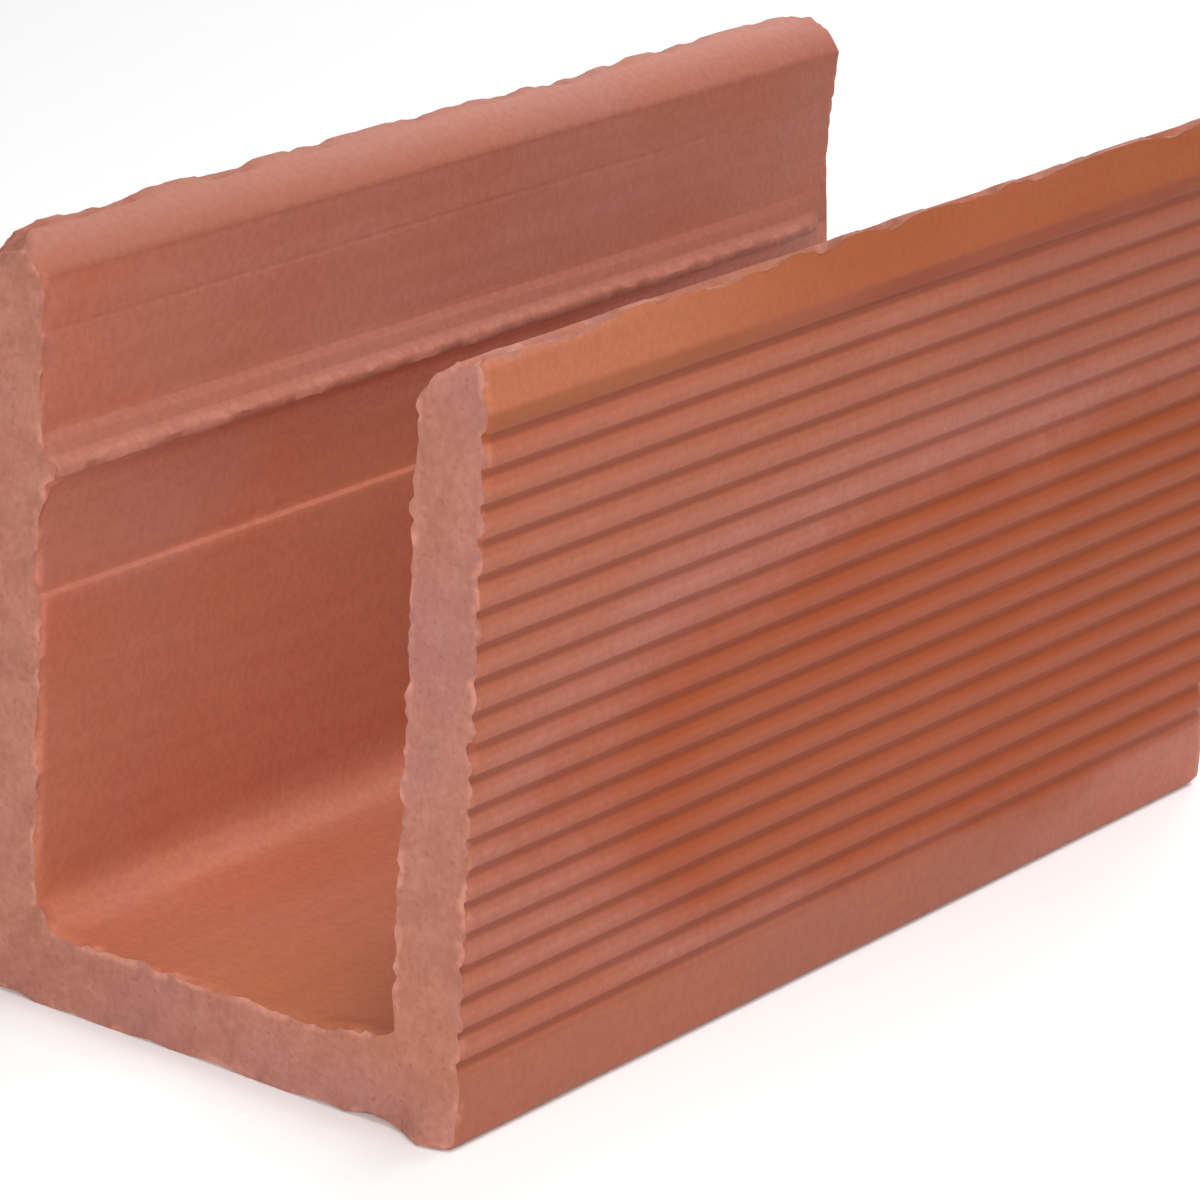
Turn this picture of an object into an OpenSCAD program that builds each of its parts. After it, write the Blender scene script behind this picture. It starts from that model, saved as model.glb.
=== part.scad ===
// Clay channel block
// A U-shaped length of extruded, fired clay that is laid in a wall course as
// the form for a concrete beam. Two such pieces leave the die joined at their
// wall tops and are split apart after firing, so each wall ends in a narrow
// broken ridge. The outer faces carry fine grooves along the length that hold
// plaster, and one inner face carries a rib, a small step and a scored line.
// The length lies along Y, the underside is on the ground at Z = 0 and the
// middle of the underside is the origin. All sizes are in millimetres.

/* [Block] */
// Width across the two outer faces
block_w = 150; // [120:1:240]
// Height from the underside to the ridges
block_h = 190; // [186:1:240]
// Length between the two cut ends
block_l = 330; // [100:5:500]

/* [Walls and floor] */
// Thickness of each wall at its foot
wall_t = 20.5; // [18:0.5:30]
// Thickness of the floor
floor_t = 19.5; // [12:0.5:40]
// Radius inside, between the floor and each wall
fillet_r = 9; // [2:0.5:20]
// Radius along the two long bottom edges
foot_r = 3; // [1:0.5:8]

/* [Wall tops] */
// Width of the ridge left by the split
ridge_w = 1.5; // [1:0.5:5]
// Distance from the outer face in to the ridge
ridge_inset = 3; // [1:0.5:5]
// Height of the smooth leaning band under the ridge
band_h = 13; // [8:0.5:14]
// Drop of the ribbed wall's rounded top from the ridge to its inner edge
top_drop = 8.5; // [4:0.5:14]
// Radius of the ribbed wall's top
crown_r = 18; // [16:1:90]
// Drop of the plain wall's flatter top from the ridge to its inner edge
plain_drop = 11; // [4:0.5:14]
// Radius of the plain wall's top
plain_crown_r = 60; // [16:1:90]

/* [Outer grooves] */
// Number of grooves on each outer face
groove_n = 20; // [1:1:20]
// Height of the lowest groove
groove_z = 22; // [10:0.5:22]
// Distance from one groove to the next
groove_pitch = 7.9; // [4:0.1:7.9]
// Width of a groove at the face
groove_w = 2.6; // [1.5:0.1:3.5]
// Depth of a groove
groove_d = 1.2; // [0.4:0.1:1.5]

/* [Rib and step on one inner face] */
// Height of the foot of the step
step_z = 103; // [60:1:106]
// Rise of the step's sloped face
step_h = 0.6; // [0.3:0.1:3]
// Distance the step sets the upper wall back
step_d = 1.6; // [0.5:0.1:3]
// Height of the lower edge of the rib's nose
rib_z = 136; // [132:1:150]
// Reach of the nose from the wall face above it
rib_reach = 5.5; // [3:0.5:8]
// Height of the flat on the nose
rib_nose_h = 4; // [0.5:0.5:5]
// Rise of the slope above the nose
rib_top_h = 3.5; // [2:0.5:8]
// Reach of the underside just below the lip
rib_neck = 2.2; // [1:0.1:2.8]
// Height from the nose down to the neck
rib_lip_h = 4.5; // [2:0.5:8]
// Height over which the underside fades into the wall
rib_fade_h = 11; // [4:0.5:16]
// Height of the scored line above the rib
score_z = 168; // [164:1:172]
// Width of the scored line
score_w = 1.2; // [0.6:0.1:2]
// Depth of the scored line
score_d = 0.5; // [0.3:0.1:0.6]

/* [Hidden] */
// Smoothness of round edges
$fn = 48;
// Extra reach of cutting shapes past the faces they cut
over = 1;
// Wall thickness above the step
upper_t = wall_t - step_d;
// Distance from the outer face to the ridge's inner edge
ridge_end = ridge_inset + ridge_w;
// Radius of a groove's round bottom
groove_r = (pow(groove_w / 2, 2) + pow(groove_d, 2)) / (2 * groove_d);
// Radius of the scored line's round bottom
score_r = (pow(score_w / 2, 2) + pow(score_d, 2)) / (2 * score_d);

// Centre of the rounding of radius r on top of a wall of thickness t, which runs
// from the ridge's inner edge down by drop to the inner face
function crown_centre(t, drop, r) =
    let (
        across = t - ridge_end,
        half = norm([across, drop]) / 2,
        sink = sqrt(r * r - half * half) / (2 * half)
    )
    [ridge_end + across / 2 - drop * sink, block_h - drop / 2 - across * sink];

// Inner face of the ribbed wall from the step to above the rib
function rib_points() = [
    [wall_t, step_z],
    [upper_t, step_z + step_h],
    [upper_t, rib_z - rib_lip_h - rib_fade_h],
    [upper_t + rib_neck, rib_z - rib_lip_h],
    [upper_t + rib_reach, rib_z],
    [upper_t + rib_reach, rib_z + rib_nose_h],
    [upper_t, rib_z + rib_nose_h + rib_top_h]
];

// Section of one wall, outer face at x = 0, inner face towards +x.
// t is its thickness at the top, inner the points of its inner face, and drop
// and r the drop and the radius of its top.
module wall_section(t, inner, drop, r) {
    polygon(concat(
        [[0, 0], [wall_t, 0]],
        inner,
        [
            [t, block_h - drop],
            [ridge_end, block_h],
            [ridge_inset, block_h],
            [0, block_h - band_h]
        ]
    ));
    intersection() {
        translate([ridge_end, block_h - drop])
            square([t - ridge_end, drop]);
        translate(crown_centre(t, drop, r))
            circle(r = r);
    }
}

// Rounding between the floor and a wall, drawn beside that wall
module fillet_section() {
    difference() {
        translate([wall_t - over, floor_t - over])
            square(fillet_r + over);
        translate([wall_t + fillet_r, floor_t + fillet_r])
            circle(r = fillet_r);
    }
}

// What is cut from an outer face: the grooves and the rounded bottom edge
module face_cuts() {
    for (i = [0 : groove_n - 1])
        translate([groove_d - groove_r, groove_z + i * groove_pitch])
            circle(r = groove_r);
    difference() {
        translate([-over, -over])
            square(foot_r + over);
        translate([foot_r, foot_r])
            circle(r = foot_r);
    }
}

// Floor slab between the walls, reaching half way into each
module floor_section() {
    translate([-block_w / 2 + wall_t / 2, 0])
        square([block_w - wall_t, floor_t]);
}

// Whole cross-section, width along x and height along y
module channel_section() {
    difference() {
        union() {
            floor_section();
            translate([-block_w / 2, 0]) {
                wall_section(upper_t, rib_points(), top_drop, crown_r);
                fillet_section();
            }
            translate([block_w / 2, 0])
                mirror([1, 0]) {
                    wall_section(wall_t, [], plain_drop, plain_crown_r);
                    fillet_section();
                }
        }
        translate([-block_w / 2, 0]) {
            face_cuts();
            translate([upper_t - score_d + score_r, score_z])
                circle(r = score_r);
        }
        translate([block_w / 2, 0])
            mirror([1, 0])
                face_cuts();
    }
}

// The fired clay piece, cut square at both ends
module channel_block() {
    color([0.68, 0.37, 0.28])
        translate([0, block_l / 2, 0])
            rotate([90, 0, 0])
                linear_extrude(height = block_l)
                    channel_section();
}

channel_block();
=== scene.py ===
import math

import bmesh
import bpy
import numpy as np
from mathutils import Matrix, Vector
from mathutils.geometry import delaunay_2d_cdt


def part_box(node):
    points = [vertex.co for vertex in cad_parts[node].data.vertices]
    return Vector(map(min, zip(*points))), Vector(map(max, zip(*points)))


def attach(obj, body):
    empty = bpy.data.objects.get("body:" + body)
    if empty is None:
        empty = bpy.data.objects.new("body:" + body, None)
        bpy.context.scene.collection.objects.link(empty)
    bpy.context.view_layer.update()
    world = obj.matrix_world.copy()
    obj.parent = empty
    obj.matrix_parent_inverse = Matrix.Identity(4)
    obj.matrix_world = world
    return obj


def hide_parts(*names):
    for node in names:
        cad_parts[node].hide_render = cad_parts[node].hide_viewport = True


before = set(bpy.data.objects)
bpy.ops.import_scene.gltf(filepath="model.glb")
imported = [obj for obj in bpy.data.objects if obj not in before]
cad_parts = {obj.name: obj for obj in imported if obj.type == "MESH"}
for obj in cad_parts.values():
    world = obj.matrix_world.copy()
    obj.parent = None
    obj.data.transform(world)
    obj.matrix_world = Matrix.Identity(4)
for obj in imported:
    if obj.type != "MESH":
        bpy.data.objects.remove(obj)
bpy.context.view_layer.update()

# The clay channel block
# One piece of red clay pressed through a die, wire-cut to length and fired.
# It leaves the die joined to its twin at the wall tops and is split from it,
# so the two ridges are broken, the ends are rough and the faces are drawn smooth.

MM = 0.001
block_low, block_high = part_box("channel_block")
block_w = (block_high[0] - block_low[0]) / MM
block_h = (block_high[2] - block_low[2]) / MM
block_l = (block_high[1] - block_low[1]) / MM
half_w = block_w / 2
near_y = -block_l / 2
wall_t = 20.5
floor_t = 19.5
fillet_r = 9.0
foot_r = 3.0
ridge_w = 1.5
ridge_inset = 3.0
ridge_end = ridge_inset + ridge_w
band_h = 13.0
band_z = block_h - band_h
top_drop = 8.5
crown_r = 18.0
plain_drop = 11.0
plain_crown_r = 60.0
groove_n = 20
groove_z = 22.0
groove_pitch = 7.9
groove_d = 1.2
groove_low = 0.75
groove_sag = 1.9
sag_middle = 11.5
sag_reach = 7.5
step_z = 103.0
step_h = 0.6
step_d = 1.6
rib_z = 136.0
rib_reach = 5.5
rib_nose_h = 4.0
rib_top_h = 3.5
rib_neck = 2.2
rib_lip_h = 4.5
rib_fade_h = 11.0
score_z = 168.0
score_w = 1.2
score_d = 0.175

# A groove and the round of the land above it, from the top down, as height
# from the groove's middle and share of its depth
groove_shape = [
    (3.4, 0.04), (2.3, 0.12), (1.5, 0.24), (1.0, 0.42), (0.65, 0.8), (0.2, 1.0),
    (-0.6, 0.98), (-1.3, 0.76), (-1.9, 0.46), (-2.6, 0.2), (-3.5, 0.0),
]


def arc(cu, cz, r, start, end, count):
    """Points of an arc, angles in degrees, both ends included."""
    angles = [math.radians(start + (end - start) * i / (count - 1)) for i in range(count)]
    return [(cu + r * math.cos(a), cz + r * math.sin(a)) for a in angles]


def crown(t, drop, r):
    """Rounded top of a wall of thickness t, from its inner face up to the ridge."""
    across = t - ridge_end
    half = math.hypot(across, drop) / 2
    sink = math.sqrt(r ** 2 - half ** 2) / (2 * half)
    cu = ridge_end + across / 2 - drop * sink
    cz = block_h - drop / 2 - across * sink
    start = math.degrees(math.atan2(block_h - drop - cz, t - cu))
    end = math.degrees(math.atan2(block_h - cz, ridge_end - cu))
    return [(t, block_h - drop - 0.4)] + arc(cu, cz, r, start, end, 15)


def outer_side():
    """Outer face of a wall from its ridge down to the foot, as (depth in, height, groove)."""
    points = [(ridge_inset, block_h, 0.0), (0.12, band_z + 0.5, 0.0), (0.0, band_z - 0.3, 0.0)]
    for i in reversed(range(groove_n)):
        half_turn = math.radians(90) * max(-1, min(1, (i - sag_middle) / sag_reach))
        middle = groove_z + i * groove_pitch - groove_low - groove_sag * math.cos(half_turn) ** 2
        points += [(share * groove_d, middle + off, share) for off, share in groove_shape]
    points += [(u, z, 0.0) for u, z in arc(foot_r, foot_r, foot_r, 180, 270, 5)]
    return points


def inner_side(ribbed):
    """Inner face of a wall from the floor up to the ridge, as (depth in, height, groove)."""
    top_t = wall_t - step_d if ribbed else wall_t
    points = arc(wall_t + fillet_r, floor_t + fillet_r, fillet_r, 270, 180, 9)
    if ribbed:
        tip = top_t + rib_reach
        nose_top = rib_z + rib_nose_h
        neck_z = rib_z - rib_lip_h
        points += [
            (wall_t, step_z - 0.3),
            (wall_t - 0.15, step_z + 0.05),
            (top_t + 0.15, step_z + step_h),
            (top_t, step_z + step_h + 0.4),
            (top_t, neck_z - rib_fade_h),
            (top_t + 0.25 * rib_neck, neck_z - 0.6 * rib_fade_h),
            (top_t + rib_neck, neck_z - 0.9),
            (tip - 2.4, rib_z - 4.5),
            (tip - 0.5, rib_z - 2.6),
            (tip, rib_z - 1.9),
            (tip, rib_z - 0.3),
            (tip - 0.4, rib_z + 0.3),
            (top_t + 2.7, nose_top - 1.9),
            (top_t + 2.4, nose_top - 1.4),
            (top_t + 1.8, nose_top + 1.1),
            (top_t + 1.5, nose_top + 1.5),
            (top_t + 0.2, nose_top + 0.85 * rib_top_h),
            (top_t, nose_top + rib_top_h),
            (top_t, score_z - score_w),
            (top_t, score_z - 0.5 * score_w),
            (top_t - score_d, score_z),
            (top_t, score_z + 0.5 * score_w),
            (top_t, score_z + score_w),
        ]
        points += crown(top_t, top_drop, crown_r)
    else:
        points += crown(top_t, plain_drop, plain_crown_r)
    return [(u, z, 0.0) for u, z in points]


def place(points, side):
    """Puts a wall's points on the left (-1) or right (+1) of the block."""
    return [(side * (half_w - u), z, g) for u, z, g in points]


top_step = 1.2
base_step = 6.0
outer_step = 3.2
inner_step = 1.9


def spacing(x, z):
    """Longest edge wanted at a place on the outline: fine on the wall tops, coarse under the block."""
    if z > band_z:
        return top_step
    if z < 1:
        return base_step
    return outer_step if abs(x) > half_w - 2 else inner_step


def densify(points):
    """Splits the long edges of the closed outline."""
    fine = []
    for (x0, z0, g0), (x1, z1, g1) in zip(points, points[1:] + points[:1]):
        reach = math.hypot(x1 - x0, z1 - z0)
        count = max(1, round(reach / spacing((x0 + x1) / 2, (z0 + z1) / 2)))
        for i in range(count):
            t = i / count
            fine.append((x0 + (x1 - x0) * t, z0 + (z1 - z0) * t, g0 + (g1 - g0) * t))
    return fine


outline = densify(
    place(outer_side(), -1)
    + place(outer_side()[::-1], 1)
    + place(inner_side(False)[::-1], 1)
    + place(inner_side(True), -1)
)
ring = np.array([(x, z) for x, z, _ in outline])
groove_share = np.array([g for _, _, g in outline])
ahead = np.roll(ring, -1, axis=0) - np.roll(ring, 1, axis=0)
outward = np.stack([-ahead[:, 1], ahead[:, 0]], axis=1)
outward /= np.linalg.norm(outward, axis=1)[:, None]
turn = ring[:, 0] * np.roll(ring[:, 1], -1) - np.roll(ring[:, 0], -1) * ring[:, 1]
if turn.sum() > 0:
    outward = -outward

# Points inside the cut face, so that its rough surface is real relief
grain_step = 1.9
grain_row = grain_step * 0.866
grain_stray = 0.28
rim_clear = 1.1
chance = np.random.default_rng(4)
grain_x, grain_z = np.meshgrid(
    np.arange(-half_w, half_w, grain_step),
    np.arange(0, block_h, grain_row),
)
grain_x = grain_x + (np.arange(grain_x.shape[0])[:, None] % 2) * grain_step / 2
grid = np.stack([grain_x.ravel(), grain_z.ravel()], axis=1)
grid += chance.uniform(-grain_stray, grain_stray, grid.shape) * grain_step
tail = np.roll(ring, -1, axis=0)
edge = tail - ring
crosses = (ring[None, :, 1] > grid[:, 1:2]) != (tail[None, :, 1] > grid[:, 1:2])
rise = np.where(edge[:, 1] == 0, 1e-9, edge[:, 1])
cut_x = ring[:, 0] + (grid[:, 1:2] - ring[:, 1]) * edge[:, 0] / rise
grid = grid[(crosses & (grid[:, :1] < cut_x)).sum(1) % 2 == 1]
along = np.einsum("nkj,kj->nk", grid[:, None, :] - ring[None], edge) / (edge ** 2).sum(1)
nearest = ring[None] + np.clip(along, 0, 1)[:, :, None] * edge[None]
rim_gap = np.linalg.norm(grid[:, None, :] - nearest, axis=2)
grid_rim = rim_gap.argmin(1)
grid_gap = rim_gap.min(1)
grid_rim, grid_gap, grid = [part[grid_gap > rim_clear] for part in (grid_rim, grid_gap, grid)]

ring_n = len(ring)
verts, _, faces, origins, _, _ = delaunay_2d_cdt(
    [Vector(p) for p in np.vstack([ring, grid])], [], [list(range(ring_n))], 1, 1e-6
)
section = bpy.data.meshes.new("cut section")
section.from_pydata([(v.x * MM, v.y * MM, 0.0) for v in verts], [], faces)
origin = np.array([o[0] for o in origins])


def add_attribute(name, kind, values):
    """Stores one value for each point of the section."""
    layer = section.attributes.new(name, kind, "POINT")
    field = "vector" if kind == "FLOAT_VECTOR" else "value"
    layer.data.foreach_set(field, values[origin].astype(np.float32).ravel())


# The cut face follows its rim's wear for this far in
wear_reach = 5.0
give = np.clip(1 - grid_gap / wear_reach, 0, 1)[:, None] ** 2
pull = np.vstack([outward, outward[grid_rim] * give])
add_attribute("outward", "FLOAT_VECTOR", np.stack([pull[:, 0], 0 * pull[:, 0], pull[:, 1]], axis=1))
add_attribute("groove", "FLOAT", np.concatenate([groove_share, np.zeros(len(grid))]))
add_attribute("rim_gap", "FLOAT", np.concatenate([np.zeros(ring_n), grid_gap]))


class Wire:
    """A node's output. Sums on it add Math nodes, and node() adds any other node."""

    def __init__(self, tree, socket):
        self.tree = tree
        self.socket = socket

    def node(self, kind, settings=None, sockets=None, out=0):
        """A new node with these settings and these values or links on its sockets."""
        made = self.tree.nodes.new(kind)
        for name, value in (settings or {}).items():
            setattr(made, name, value)
        for name, value in (sockets or {}).items():
            for item in value if isinstance(value, list) else [value]:
                if isinstance(item, Wire):
                    self.tree.links.new(item.socket, made.inputs[name])
                else:
                    made.inputs[name].default_value = item
        return Wire(self.tree, made.outputs[out])

    def other(self, out):
        """Another output of the same node."""
        return Wire(self.tree, self.socket.node.outputs[out])

    def apart(self, kind):
        """The three parts of a vector or a colour."""
        first = self.node(kind, None, {0: self})
        return first, first.other(1), first.other(2)

    def math(self, operation, *values):
        return self.node("ShaderNodeMath", {"operation": operation}, dict(enumerate(values)))

    def least(self, b):
        return self.math("MINIMUM", self, b)

    def most(self, b):
        return self.math("MAXIMUM", self, b)

    def smooth(self, low, high):
        """0 below low, 1 above high and eased between."""
        settings = {"interpolation_type": "SMOOTHSTEP"}
        return self.node("ShaderNodeMapRange", settings, {0: self, 1: low, 2: high})

    def fall(self, low, high):
        """1 below low, 0 above high and eased between."""
        return self.smooth(high, low)

    def share(self, low, high):
        """How far from low to high, from 0 to 1."""
        return self.node("ShaderNodeMapRange", None, {0: self, 1: low, 2: high})

    def __add__(self, b):
        return self.math("ADD", self, b)

    def __radd__(self, a):
        return self.math("ADD", a, self)

    def __sub__(self, b):
        return self.math("SUBTRACT", self, b)

    def __rsub__(self, a):
        return self.math("SUBTRACT", a, self)

    def __mul__(self, b):
        return self.math("MULTIPLY", self, b)

    def __rmul__(self, a):
        return self.math("MULTIPLY", a, self)

    def __pow__(self, b):
        return self.math("POWER", self, b)


# The sweep: the section's rim drawn along the length and closed by two cut faces,
# then worn, chipped and broken where the real piece is
slice_n = 118
sweep = bpy.data.node_groups.new("drawn and cut clay", "GeometryNodeTree")
sizes = [
    ("Length", "NodeSocketFloat", block_l * MM),
    ("Slices", "NodeSocketInt", slice_n),
    ("End Zone", "NodeSocketFloat", 6 * MM),
    ("Ridge Break", "NodeSocketFloat", 3.0 * MM),
    ("Arris Wear", "NodeSocketFloat", 1.5 * MM),
    ("Cut Relief", "NodeSocketFloat", 0.9 * MM),
    ("Face Waviness", "NodeSocketFloat", 0.5 * MM),
    ("Lip Waviness", "NodeSocketFloat", 1.9 * MM),
    ("Seed", "NodeSocketFloat", 7.0),
    ("Clay", "NodeSocketMaterial", None),
]
sweep.interface.new_socket("Geometry", in_out="INPUT", socket_type="NodeSocketGeometry")
size_ids = {}
for name, kind, value in sizes:
    socket = sweep.interface.new_socket(name, in_out="INPUT", socket_type=kind)
    size_ids[name] = socket.identifier
sweep.interface.new_socket("Geometry", in_out="OUTPUT", socket_type="NodeSocketGeometry")
given = sweep.nodes.new("NodeGroupInput")
cut_face = Wire(sweep, given.outputs["Geometry"])
length, slices, end_zone, ridge_break, arris_wear, cut_relief, waviness, lip_waviness, seed, clay_in = [
    Wire(sweep, given.outputs[name]) for name, _, _ in sizes
]

faces_beside = cut_face.node("GeometryNodeInputMeshEdgeNeighbors")
same = {"data_type": "INT", "operation": "EQUAL"}
is_rim = cut_face.node("FunctionNodeCompare", same, {2: faces_beside, 3: 1})
rim_curve = cut_face.node("GeometryNodeMeshToCurve", None, {"Mesh": cut_face, "Selection": is_rim})
near_point = length.node("ShaderNodeCombineXYZ", None, {"Z": length})
axis_line = length.node("GeometryNodeCurvePrimitiveLine", None, {"End": near_point})
axis_line = length.node(
    "GeometryNodeResampleCurve", {"mode": "COUNT"}, {"Curve": axis_line, "Count": slices}
)
# Slices stand closest by the two cuts, where the wear is, and a little closer in the near half
walked = length.node("GeometryNodeSplineParameter")
zone_slices = 6
zone_share = zone_slices / (slice_n - 1)
tighten = 0.2
far_zone = walked.share(0, zone_share) ** 1.5
near_zone = 1 - walked.share(1, 1 - zone_share) ** 1.5
between = walked.share(zone_share, 1 - zone_share)
between = between + between * (1 - between) * tighten
slice_at = (far_zone + near_zone) * end_zone + between * (length - end_zone * 2)
slice_point = slice_at.node("ShaderNodeCombineXYZ", None, {"Z": slice_at})
axis_line = length.node("GeometryNodeSetPosition", None, {"Geometry": axis_line, "Position": slice_point})
skin = length.node("GeometryNodeCurveToMesh", None, {"Curve": axis_line, "Profile Curve": rim_curve})
far_cut = cut_face.node("GeometryNodeFlipFaces", None, {"Mesh": cut_face})
near_cut = cut_face.node("GeometryNodeTransform", None, {"Geometry": cut_face, "Translation": near_point})


def mark(geometry, name, domain, value):
    """Stores a value on every point or face."""
    settings = {"data_type": "FLOAT", "domain": domain}
    sockets = {"Geometry": geometry, "Name": name, "Value": value}
    return geometry.node("GeometryNodeStoreNamedAttribute", settings, sockets)


parts = [
    mark(skin, "cut_end", "FACE", 0.0),
    mark(far_cut, "cut_end", "FACE", 1.0),
    mark(near_cut, "cut_end", "FACE", 1.0),
]
whole = skin.node("GeometryNodeJoinGeometry", None, {"Geometry": parts})
weld_gap = 0.02 * MM
whole = whole.node("GeometryNodeMergeByDistance", None, {"Geometry": whole, "Distance": weld_gap})
middle = length.node("ShaderNodeCombineXYZ", None, {"Y": length * 0.5})
whole = whole.node(
    "GeometryNodeTransform", None,
    {"Geometry": whole, "Translation": middle, "Rotation": (math.radians(90), 0, 0)},
)

here = whole.node("GeometryNodeInputPosition")
x_at, y_at, z_at = here.apart("ShaderNodeSeparateXYZ")
rim_dir = here.node("GeometryNodeInputNamedAttribute", {"data_type": "FLOAT_VECTOR"}, {"Name": "outward"})
broken_so_far = here.node("GeometryNodeInputNamedAttribute", {"data_type": "FLOAT"}, {"Name": "broken"})


def rising(value, low, high):
    """0 below low, 1 above high and eased between, limits in millimetres."""
    return value.smooth(low * MM, high * MM)


def falling(value, low, high):
    """1 below low, 0 above high and eased between, limits in millimetres."""
    return value.fall(low * MM, high * MM)


def grit(size, shift, detail=1.0, stretch=(1, 1, 1)):
    """Noise from -0.5 to 0.5 with lumps of about this size in millimetres, unlike for each shift."""
    spot = here.node("ShaderNodeVectorMath", {"operation": "MULTIPLY"}, {0: here, 1: stretch})
    value = here.node(
        "ShaderNodeTexNoise", {"noise_dimensions": "4D"},
        {"Vector": spot, "W": seed + shift, "Scale": 1 / (size * MM), "Detail": detail},
    )
    return value - 0.5


def push(geometry, way, amount):
    """Moves the clay along a direction by an amount that varies from point to point."""
    offset = amount.node("ShaderNodeVectorMath", {"operation": "SCALE"}, {0: way, "Scale": amount})
    return geometry.node("GeometryNodeSetPosition", None, {"Geometry": geometry, "Offset": offset})


def gap_to(at):
    """Distance from a point given in millimetres."""
    spot = tuple(v * MM for v in at)
    return here.node("ShaderNodeVectorMath", {"operation": "DISTANCE"}, {0: here, 1: spot}, out=1)


def dent(geometry, at, reach, shift):
    """Moves the clay round a point, most at the point itself, in millimetres."""
    way = tuple(v * MM for v in shift)
    return push(geometry, way, 1 - rising(gap_to(at), 0, reach))


def break_off(geometry, way, lost):
    """Takes clay away against a direction and marks the surface laid open."""
    fresh = broken_so_far.most(rising(lost, 0.05, 0.6))
    return push(mark(geometry, "broken", "POINT", fresh), way, lost * -1)


def chip(geometry, corner, facing, depth, reach):
    """Breaks a corner off along a rough plane that lies this deep under it."""
    way = Vector(facing).normalized()
    level = (Vector(corner).dot(way) - depth) * MM
    past = here.node("ShaderNodeVectorMath", {"operation": "DOT_PRODUCT"}, {0: here, 1: way}, out=1)
    past = past - level + (grit(8, 30) * 2.2 + grit(3, 31) * 1.4) * MM
    fade = 4
    near = 1 - rising(gap_to(corner), reach - fade, reach)
    return break_off(geometry, way, past.most(0.0) * near)


to_near = y_at + length * 0.5
to_far = length * 0.5 - y_at
to_end = to_near.least(to_far)
end_way = y_at.math("SIGN", y_at)
from_middle = x_at.math("ABSOLUTE", x_at)

# The faces are not quite flat, and the cut edges are worn by a varying amount
swell = grit(70, 3) * waviness + grit(4, 4, 1.0, (1, 0.35, 1)) * (0.12 * MM)
wear = grit(7, 1) * 2.2 + grit(3, 2) * 1.9 + 0.18
wear = wear.most(-0.5).least(1.0) * (1 - rising(y_at, 0, 100) * 0.6)
by_arris = 1 - rising(to_end, 0, 2.4)
inner_edge = 1 - rising(from_middle, half_w - 12, half_w - 6)
whole = push(whole, rim_dir, swell - by_arris * wear * arris_wear * (1 + inner_edge * 0.35))
# The wire leaves a rough, gently uneven cut
relief = grit(38, 5) * 1.1 + grit(5, 6, 2.0) * 0.8 + grit(2.4, 7) * 0.4
by_cut = 1 - rising(to_end, 0, 1.6)
whole = push(whole, (0, 1, 0), end_way * by_cut * relief * cut_relief)
# The rib's lip dragged on the die
lip_x = -half_w + wall_t - step_d + rib_reach
in_lip = rising(x_at, lip_x - 3.5, lip_x - 1)
in_lip = in_lip * (1 - rising(x_at, lip_x + 2, lip_x + 4))
in_lip = in_lip * rising(z_at, rib_z - 5, rib_z - 1)
rib_top = rib_z + rib_nose_h
in_lip = in_lip * (1 - rising(z_at, rib_top + 0.5, rib_top + 3))
lumps = grit(14, 20) * 1.3 + grit(5, 21) * 1.1
whole = push(whole, (0.8, 0, -0.5), in_lip * lumps * lip_waviness)

# The ridges broke off unevenly
inward = half_w * MM - from_middle
by_ridge = 1 - rising(inward, 5.5, 10)
by_ridge = by_ridge * rising(z_at, block_h - 9, block_h - 4)
along_ridge = (0.5, 1, 0.3)
jag = grit(30, 8, 1, along_ridge) * 2.2 + grit(10, 9, 1, along_ridge) * 1.5
jag = (jag + grit(4, 10, 1, along_ridge) * 0.6 + 0.25).most(0.0).least(1.1)
break_tilt = 0.66
lean = (inward - ridge_inset * MM).most(0.0) * rising(x_at, -10, 10) * break_tilt
left_standing = block_h * MM - jag * by_ridge * ridge_break - lean * jag.smooth(0.0, 0.3)
whole = break_off(whole, (0, 0, 1), (z_at - left_standing).most(0.0) * by_ridge.smooth(0.0, 0.2))

# Corner knocked off the near end of the left ridge
whole = chip(whole, (-half_w + 5, near_y, block_h), (-0.3, -0.62, 0.72), 6.0, 34)
# Inner edge of the right wall's top, broken away at the near end
whole = chip(whole, (half_w - wall_t, near_y, block_h - plain_drop), (-0.72, -0.4, 0.57), 1.6, 20)
# Bottom edge of the near end, chipped beside the right foot and by the left one
whole = chip(whole, (half_w - 22, near_y, 0), (0.0, -0.5, -0.87), 2.1, 8.5)
whole = chip(whole, (-half_w + 12, near_y, 0), (0.0, -0.6, -0.8), 1.2, 8)
# The rib and the wall round it, rubbed down at the far end
rib_root = lip_x - rib_reach
standing = (x_at - rib_root * MM).most(0.0) * (1 - rising(x_at, -30, -20))
standing = standing * rising(z_at, rib_z - 18, rib_z - 12)
whole = push(whole, (-1, 0, 0), standing * (1 - rising(to_far, 2, 16)))
whole = dent(whole, (rib_root, -near_y, rib_z + 16), 38, (-2.4, 0.0, 0.0))
# Rounded foot of the near right corner
whole = dent(whole, (half_w - 8, near_y, 2), 11, (0.0, -4.0, 0.0))
# The wire wandered at the far right corner, and its foot broke off
whole = dent(whole, (half_w, -near_y, 24), 34, (0.0, 2.2, 0.0))
whole = chip(whole, (half_w, -near_y + 2, 0), (0.2, 0.62, -0.76), 2.6, 14)
# Clay torn up by the wire in the right corner of the channel
whole = dent(whole, (half_w - wall_t - 10, near_y, floor_t), 15, (0.0, 0.0, 2.6))

# Nothing reaches below the floor that the block stands on
grounded = here.node("ShaderNodeCombineXYZ", None, {"X": x_at, "Y": y_at, "Z": z_at.most(0.0)})
whole = whole.node("GeometryNodeSetPosition", None, {"Geometry": whole, "Position": grounded})
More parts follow.
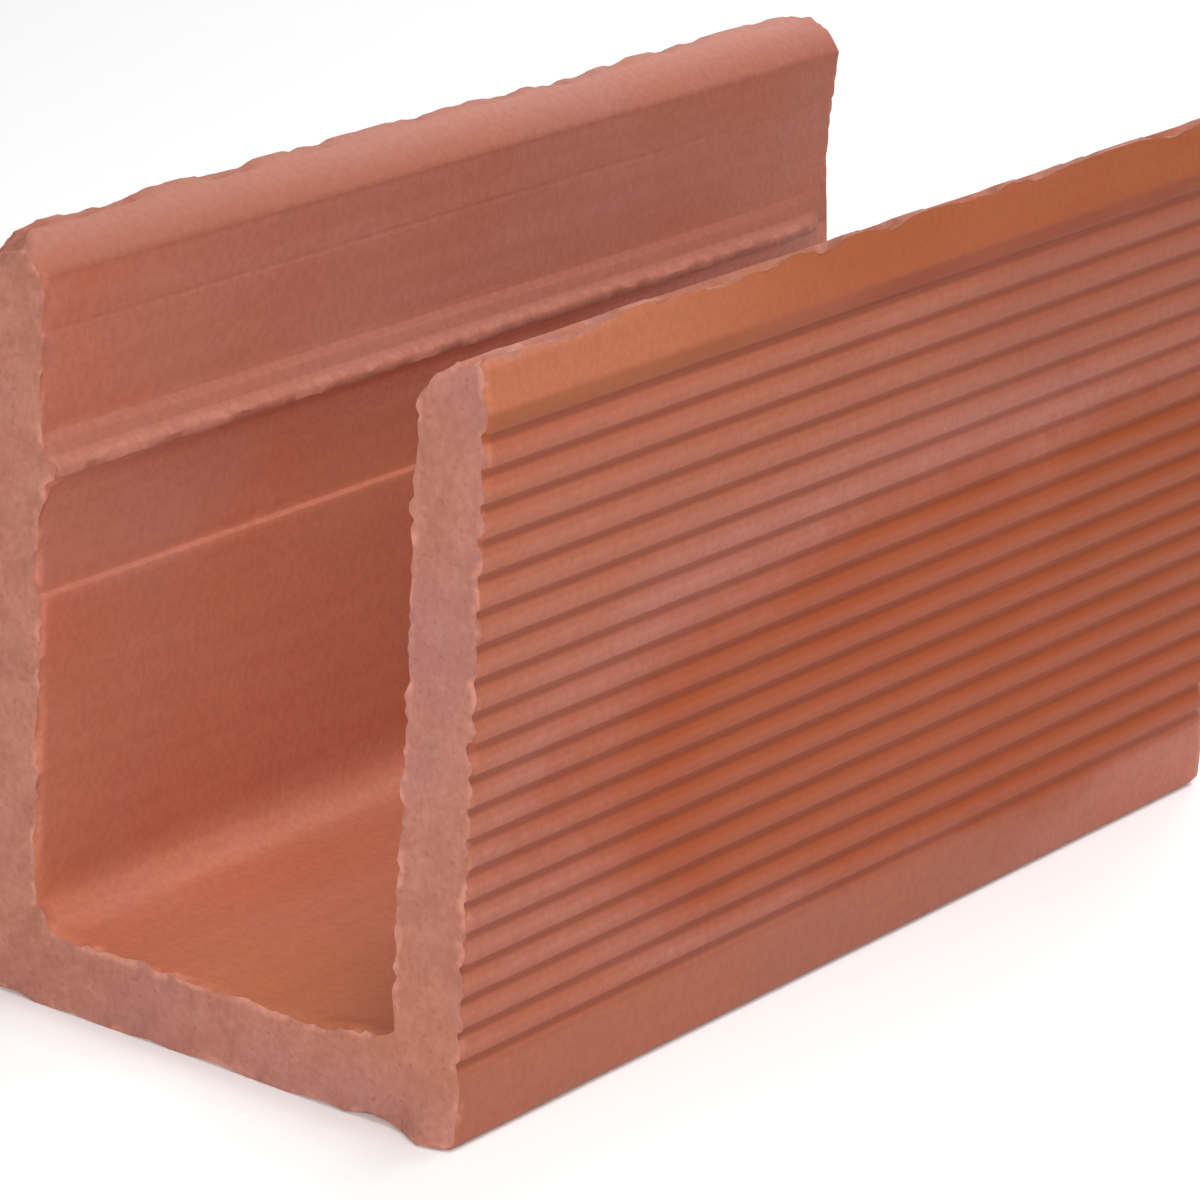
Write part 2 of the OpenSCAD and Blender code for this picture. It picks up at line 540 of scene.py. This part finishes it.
# Broken and cut edges stay sharp
fold = whole.node("GeometryNodeInputMeshEdgeAngle")
sharp_fold = math.radians(38)
crisp = fold.math("GREATER_THAN", fold, sharp_fold)
whole = whole.node("GeometryNodeSetShadeSmooth", None, {"Geometry": whole})
whole = whole.node(
    "GeometryNodeSetShadeSmooth", {"domain": "EDGE"},
    {"Geometry": whole, "Selection": crisp, "Shade Smooth": False},
)
whole = whole.node("GeometryNodeRealizeInstances", None, {"Geometry": whole})
whole = whole.node("GeometryNodeSetMaterial", None, {"Geometry": whole, "Material": clay_in})
sweep.links.new(whole.socket, sweep.nodes.new("NodeGroupOutput").inputs[0])

# Fired red clay: drawn skin with faint streaks, paler and grainy where it was cut or broken
clay = bpy.data.materials.new("fired clay")
clay.use_nodes = True
clay.node_tree.nodes.clear()
coords = clay.node_tree.nodes.new("ShaderNodeTexCoord")
spot = Wire(clay.node_tree, coords.outputs["Object"])
spot_x, spot_y, spot_z = spot.apart("ShaderNodeSeparateXYZ")


def attribute(name):
    """A value stored on the mesh."""
    return spot.node("ShaderNodeAttribute", {"attribute_name": name}, None, out="Fac")


def mottle(size, detail, roughness=0.55, stretch=(1, 1, 1)):
    """Three unlike noises from 0 to 1 with patches of about this size in millimetres."""
    scaled = spot.node("ShaderNodeVectorMath", {"operation": "MULTIPLY"}, {0: spot, 1: stretch})
    noise = spot.node(
        "ShaderNodeTexNoise", None,
        {"Vector": scaled, "Scale": 1 / (size * MM), "Detail": detail, "Roughness": roughness},
    )
    _, second, third = noise.other("Color").apart("ShaderNodeSeparateColor")
    return noise, second, third


def blend(share_of, a, b):
    """Colour a with a share of colour b."""
    settings = {"data_type": "RGBA", "blend_type": "MIX"}
    return spot.node("ShaderNodeMix", settings, {0: share_of, 6: a, 7: b}, out=2)


def srgb(r, g, b):
    """A colour as seen on a screen, as linear values."""
    return tuple(((c / 255 + 0.055) / 1.055) ** 2.4 for c in (r, g, b)) + (1.0,)


cut_end = attribute("cut_end")
broken = attribute("broken")
in_groove = attribute("groove")
rim_gap_here = attribute("rim_gap")
wide_a, wide_b, wide_c = mottle(60, 1.0)
mid_a, mid_b, mid_c = mottle(7, 2.0, 0.6)
fine_a, fine_b, fine_c = mottle(1.9, 1.0, 0.6)
streak, _, _ = mottle(5, 1.0, 0.6, (1, 0.05, 1))
drift = (wide_b - 0.5) + (mid_b - 0.5) * 0.4


def tone_and_painted_light_patch(under, at, reach, color, strength, soft=0.7, wobble=0.9):
    """A soft-edged patch, in millimetres, of another colour: tones the fire and the drying left, and also
    painted sheen and a painted highlight.
    """
    rim = 1.05
    per_reach = tuple(1 / (v * MM) for v in reach)
    shift = tuple(-a / v for a, v in zip(at, reach))
    scale_and_shift = {"operation": "MULTIPLY_ADD"}
    scaled = spot.node("ShaderNodeVectorMath", scale_and_shift, {0: spot, 1: per_reach, 2: shift})
    away = spot.node("ShaderNodeVectorMath", {"operation": "LENGTH"}, {0: scaled}, out=1)
    away = away.math("MULTIPLY_ADD", drift, wobble, away)
    eased = {"interpolation_type": "SMOOTHSTEP"}
    limits = {0: away, 1: rim - soft, 2: rim, 3: strength, 4: 0.0}
    cover = spot.node("ShaderNodeMapRange", eased, limits)
    return blend(cover, under, color)


# The drawn skin, a little pinker in wide patches
red_clay = srgb(188, 104, 76)
pink_clay = srgb(186, 108, 84)
skin_color = blend(wide_a.smooth(0.35, 0.7), red_clay, pink_clay)

# Painted sheen on the right face: pink patches, and a paler haze round one long deep orange patch, stand
# in for the pale floor reflected in the clay
painted_sheen = srgb(178, 105, 81)
foot_painted_sheen = srgb(188, 113, 96)
painted_sheen_haze = srgb(186, 120, 108)
deep_orange = srgb(168, 75, 30)
dull_pink = srgb(164, 92, 70)
burnt_orange = srgb(158, 68, 18)
# Painted sheen: pink and pale patches where the floor's reflection would show
skin_color = tone_and_painted_light_patch(skin_color, (half_w, -20, 100), (50, 330, 150), painted_sheen, 0.9)
skin_color = tone_and_painted_light_patch(skin_color, (half_w, 150, 6), (50, 150, 24), foot_painted_sheen, 0.7)
skin_color = tone_and_painted_light_patch(skin_color, (half_w, 50, 73), (50, 224, 74), painted_sheen_haze, 0.7, soft=0.3, wobble=0.4)
skin_color = tone_and_painted_light_patch(
    skin_color, (half_w, 68, 69), (50, 220, 60), deep_orange, 0.95, soft=0.3, wobble=0.4
)
skin_color = tone_and_painted_light_patch(skin_color, (half_w, 110, 160), (50, 150, 45), dull_pink, 0.85)
skin_color = tone_and_painted_light_patch(skin_color, (half_w, 135, 95), (50, 90, 50), burnt_orange, 0.6)

# Pinker upper half of the ribbed wall, a paler foot to it that is partly a painted broad highlight on the
# fillet, and a paler floor
ribbed_x = -57
fillet_x = -48
wall_clay = srgb(188, 113, 86)
near_pink = srgb(184, 118, 101)
upper_pink = srgb(188, 120, 102)
floor_clay = srgb(185, 112, 84)
floor_tan = srgb(180, 104, 62)
fillet_pale_and_highlight = srgb(197, 125, 100)
low_pink = srgb(182, 114, 92)
skin_color = tone_and_painted_light_patch(skin_color, (ribbed_x, 20, 75), (25, 300, 75), wall_clay, 0.9)
skin_color = tone_and_painted_light_patch(skin_color, (ribbed_x, -150, 118), (25, 90, 28), near_pink, 0.8)
skin_color = tone_and_painted_light_patch(skin_color, (ribbed_x, -20, 160), (25, 260, 42), upper_pink, 0.9)
skin_color = tone_and_painted_light_patch(skin_color, (0, 0, 22), (62, 260, 16), floor_clay, 0.8)
skin_color = tone_and_painted_light_patch(skin_color, (25, -150, 20), (40, 45, 16), floor_tan, 0.6)
# Paler and pinker fillet, partly a painted broad highlight
skin_color = tone_and_painted_light_patch(skin_color, (fillet_x, 0, 25), (16, 300, 13), fillet_pale_and_highlight, 0.8, wobble=0.4)
skin_color = tone_and_painted_light_patch(skin_color, (ribbed_x, -150, 60), (25, 70, 50), low_pink, 0.6)

# The rib's upper side is dusty, and the wall under the rib is painted paler, as light that lifts the
# shade under its overhang, more towards the far end
rib_dust = srgb(170, 107, 91)
under_rib_light = srgb(212, 134, 110)
by_rib = rising(spot_x, rib_root - 2, rib_root - 1) * falling(spot_x, -40, -30)
on_rib = rising(spot_z, rib_z - 3, rib_z - 2) * falling(spot_z, rib_z + 6, rib_z + 9)
skin_color = blend(by_rib * on_rib * 0.85, skin_color, rib_dust)
# Painted light under the rib's overhang
under_rib_lift = rising(spot_z, rib_z - 19, rib_z - 8) * falling(spot_z, rib_z - 3.2, rib_z - 2.6)
under_rib_lift = under_rib_lift * (0.35 + rising(spot_y, -120, 50) * 0.6)
skin_color = blend(by_rib * under_rib_lift, skin_color, under_rib_light)

# Wall tops: the left crown painted darker as shade, light orange in the band under the right ridge, and a
# brown strip of painted shade below it
crown_z = block_h - top_drop
near_crown_shade = srgb(161, 97, 77)
far_crown_shade = srgb(170, 108, 94)
near_band = srgb(187, 113, 78)
far_band = srgb(162, 82, 30)
slope_clay = srgb(160, 98, 78)
near_undercut_shade = srgb(150, 78, 28)
far_undercut_shade = srgb(138, 52, 6)
up_band = rising(spot_z, band_z - 1, band_z + 1)
on_right = rising(spot_x, 48, 50)
on_outer = rising(spot_x, half_w - 9, half_w - 8)
on_crown = rising(spot_z, crown_z - 2, crown_z + 1) * falling(spot_x, -20, 20)
on_crown = on_crown * rising(spot_x, 1.5 - half_w, 3 - half_w)
# Painted shade on the left crown, darkest at the near end
crown_shade_color = blend(rising(spot_y, -100, 100), near_crown_shade, far_crown_shade)
skin_color = blend(on_crown * 0.9, skin_color, crown_shade_color)
band_color = blend(rising(spot_y, -120, -20), near_band, far_band)
skin_color = blend(up_band * on_right * 0.85, skin_color, band_color)
on_slope = up_band * on_right * falling(spot_x, half_w - 4, half_w - 2.5)
skin_color = blend(on_slope * 0.85, skin_color, slope_clay)
# Painted shade: a dark brown strip under the band stands for an undercut that the outline does not have
under_band = rising(spot_z, band_z - 6.2, band_z - 5.2) * (1 - up_band)
undercut_shade = blend(rising(spot_y, -120, 20), near_undercut_shade, far_undercut_shade)
skin_color = blend(under_band * on_outer * 0.9, skin_color, undercut_shade)

# Duller plain strip at the right foot, then faint warm patches and streaks from the die all over
foot_clay = srgb(164, 95, 72)
warm_patch = srgb(178, 98, 64)
die_streak = srgb(172, 92, 66)
by_foot = falling(spot_z, groove_z - 4, groove_z - 2) * on_outer
skin_color = blend(by_foot * falling(spot_y, 20, 140) * 0.85, skin_color, foot_clay)
skin_color = blend(wide_c.smooth(0.35, 0.65) * 0.25, skin_color, warm_patch)
skin_color = blend(streak.smooth(0.3, 0.7) * 0.25, skin_color, die_streak)

# Painted shade: the lower half of each land a little darker and the grooves darker still, less so towards
# the far end
groove_shade = srgb(124, 46, 14)
# Painted shade in the grooves and on the lower half of each land
painted_groove_shade = in_groove.smooth(0.0, 0.14) * 0.13 + in_groove.smooth(0.5, 1.0) * 0.42
painted_groove_shade = painted_groove_shade * (1 - rising(spot_y, -40, 80) * 0.3)
skin_color = blend(painted_groove_shade, skin_color, groove_shade)

# The step is painted paler in patches
step_clay = srgb(206, 130, 104)
step_x = -half_w + wall_t - step_d / 2
step_top = step_z + step_h
on_step = rising(spot_z, step_z - 0.6, step_z) * falling(spot_z, step_top, step_top + 0.8)
on_step = on_step * falling(spot_x, step_x + 2, step_x + 3) * rising(spot_x, step_x - 3, step_x - 2)
skin_color = blend(on_step * (0.1 + mid_c * 0.35), skin_color, step_clay)

# Cut clay: mottled, greyer and warmer in patches, pitted, and pale along its rim
cut_pale = srgb(178, 119, 101)
cut_dark = srgb(165, 106, 89)
cut_grey = srgb(162, 110, 108)
cut_warm = srgb(180, 116, 90)
cut_pit = srgb(140, 86, 74)
cut_rim = srgb(206, 140, 120)
cut_color = blend(mid_a.smooth(0.3, 0.7), cut_pale, cut_dark)
cut_color = blend(wide_c.smooth(0.45, 0.7) * 0.55, cut_color, cut_grey)
cut_color = blend(wide_a.smooth(0.5, 0.75) * 0.4, cut_color, cut_warm)
cut_color = blend(fine_b.smooth(0.6, 0.75) * 0.45, cut_color, cut_pit)
by_edge = rim_gap_here.fall(0.6, 2.6) * cut_end
cut_color = blend(by_edge * mid_c.smooth(0.45, 0.65) * 0.7, cut_color, cut_rim)

# Raw clay shows on the cut ends, in places on the broken ridges and on the rib's lip
lip_raw = srgb(200, 130, 112)
break_brown = srgb(140, 72, 40)
corner_pale = srgb(196, 126, 102)
on_lip = rising(spot_x, lip_x - 2.5, lip_x - 1) * falling(spot_x, lip_x + 2, lip_x + 4)
on_lip = on_lip * rising(spot_z, rib_z - 4, rib_z - 3) * falling(spot_z, rib_z + 0.8, rib_z + 1.8)
skin_color = blend(on_lip * mid_b.smooth(0.4, 0.6) * 0.6, skin_color, lip_raw)
past_near = rising(spot_y, -90, -30)
far_break = broken * past_near * rising(spot_x, half_w - 7, half_w - 5)
skin_color = blend(far_break * 0.5, skin_color, break_brown)
torn = broken * mid_c.smooth(0.42, 0.58) * (1 - past_near * 0.8)
by_corner = on_right * rising(spot_z, block_h - 4, block_h - 2) * falling(spot_y, -140, -100)
skin_color = blend(by_corner * 0.6, skin_color, corner_pale)
raw = cut_end.most(torn).most(on_lip * 0.3)
color = blend(raw.least(1.0), skin_color, cut_color)

# A pale burr along the ends of the drawn faces, and dark specks all over
burr_pale = srgb(208, 134, 112)
dark_speck = srgb(140, 76, 56)
to_cut = block_l / 2 * MM - spot_y.math("ABSOLUTE", spot_y)
burr = falling(to_cut, 0.6, 2.6) * (1 - cut_end) * mid_b.smooth(0.5, 0.65)
color = blend(burr * 0.6, color, burr_pale)
color = blend(fine_a.smooth(0.3, 0.7) * 0.2, color, dark_speck)

# The cuts and breaks are grainy and dull, the drawn skin is finer and a little smoother
grain = fine_c * 0.45 + (mid_a * 1.5 + fine_c) * cut_end.most(broken * 0.5)
rough = 0.62 + raw * 0.3 + (fine_a - 0.5) * 0.1
grain_depth = 0.35 * MM
bump = spot.node("ShaderNodeBump", None, {"Strength": 0.7, "Distance": grain_depth, "Height": grain})
shader = spot.node(
    "ShaderNodeBsdfPrincipled", None,
    {"Base Color": color, "Roughness": rough, "Normal": bump, "Specular IOR Level": 0.35},
)
clay.node_tree.links.new(shader.socket, clay.node_tree.nodes.new("ShaderNodeOutputMaterial").inputs[0])

block = bpy.data.objects.new("clay_channel_block", section)
bpy.context.scene.collection.objects.link(block)
drawn = block.modifiers.new("drawn and cut clay", "NODES")
drawn.node_group = sweep
for name, _, value in sizes:
    drawn[size_ids[name]] = clay if name == "Clay" else value
bpy.context.view_layer.update()
finished = bpy.data.meshes.new_from_object(block.evaluated_get(bpy.context.evaluated_depsgraph_get()))
block.modifiers.clear()
block.data = finished
shell = bmesh.new()
shell.from_mesh(finished)
bmesh.ops.recalc_face_normals(shell, faces=shell.faces)
shell.to_mesh(finished)
shell.free()
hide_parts("channel_block")
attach(block, "root")

# The floor and the light
# A pale sheet under the block, soft lights from the front right, from behind and
# from over the channel, a low fill, and one more that keeps the sheet white behind.

floor_mesh = bpy.data.meshes.new("floor")
sheet = 6
corners = [(-sheet, -sheet, 0), (sheet, -sheet, 0), (sheet, sheet, 0), (-sheet, sheet, 0)]
floor_mesh.from_pydata(corners, [], [(0, 1, 2, 3)])
floor = bpy.data.objects.new("floor", floor_mesh)
bpy.context.scene.collection.objects.link(floor)
paper = bpy.data.materials.new("pale paper")
paper.use_nodes = True
paper_look = paper.node_tree.nodes["Principled BSDF"].inputs
paper_look["Base Color"].default_value = (0.92, 0.92, 0.92, 1)
paper_look["Roughness"].default_value = 0.9
paper_look["Emission Color"].default_value = (1, 1, 1, 1)
paper_look["Emission Strength"].default_value = 0.09
floor.data.materials.append(paper)

world = bpy.data.worlds.new("light tent")
bpy.context.scene.world = world
world.use_nodes = True
world.node_tree.nodes["Background"].inputs["Color"].default_value = (1, 1, 1, 1)
world.node_tree.nodes["Background"].inputs["Strength"].default_value = 0.11


def lamp(name, at, aim, wide, long, watts):
    """A soft light box that faces a point."""
    light = bpy.data.lights.new(name, "AREA")
    light.shape = "RECTANGLE"
    light.size = wide
    light.size_y = long
    light.energy = watts
    held = bpy.data.objects.new(name, light)
    held.location = at
    held.rotation_euler = (Vector(aim) - Vector(at)).to_track_quat("-Z", "Y").to_euler()
    bpy.context.scene.collection.objects.link(held)


lamp("key", (0.85, -1.2, 0.85), (0, 0, 0.1), 1.0, 1.0, 6.8)
lamp("above", (0.0, 0.55, 1.3), (0, 0, 0.1), 0.9, 1.0, 8.7)
lamp("channel", (0.45, -0.2, 1.35), (0, 0, 0.1), 0.9, 0.9, 10)
lamp("fill", (0.6, -1.4, 0.4), (0, 0, 0.1), 0.8, 0.8, 9.1)
lamp("backdrop", (-0.9, 1.7, 1.1), (-0.5, 0.9, 0), 1.2, 1.2, 14)

# The camera
# A long lens, a little above the block and to its right, turned slightly.

azimuth = math.radians(35.5)
elevation = math.radians(18.79)
roll = math.radians(2.95)
aim = Vector((-0.0034, -0.0097, 0.0771))
away = 1.4745
forward = -Vector((
    math.sin(azimuth) * math.cos(elevation),
    -math.cos(azimuth) * math.cos(elevation),
    math.sin(elevation),
))
level = Vector((math.cos(azimuth), math.sin(azimuth), 0))
down = -level.cross(forward)
right = level * math.cos(roll) - down * math.sin(roll)
down = level * math.sin(roll) + down * math.cos(roll)
lens = bpy.data.cameras.new("camera")
lens.sensor_width = 36
lens.lens = 174.56
lens.clip_end = 50
camera = bpy.data.objects.new("camera", lens)
turned = Matrix((right, -down, -forward)).transposed().to_4x4()
camera.matrix_world = Matrix.Translation(aim - forward * away) @ turned
bpy.context.scene.collection.objects.link(camera)
bpy.context.scene.camera = camera
bpy.context.scene.view_settings.view_transform = "Standard"
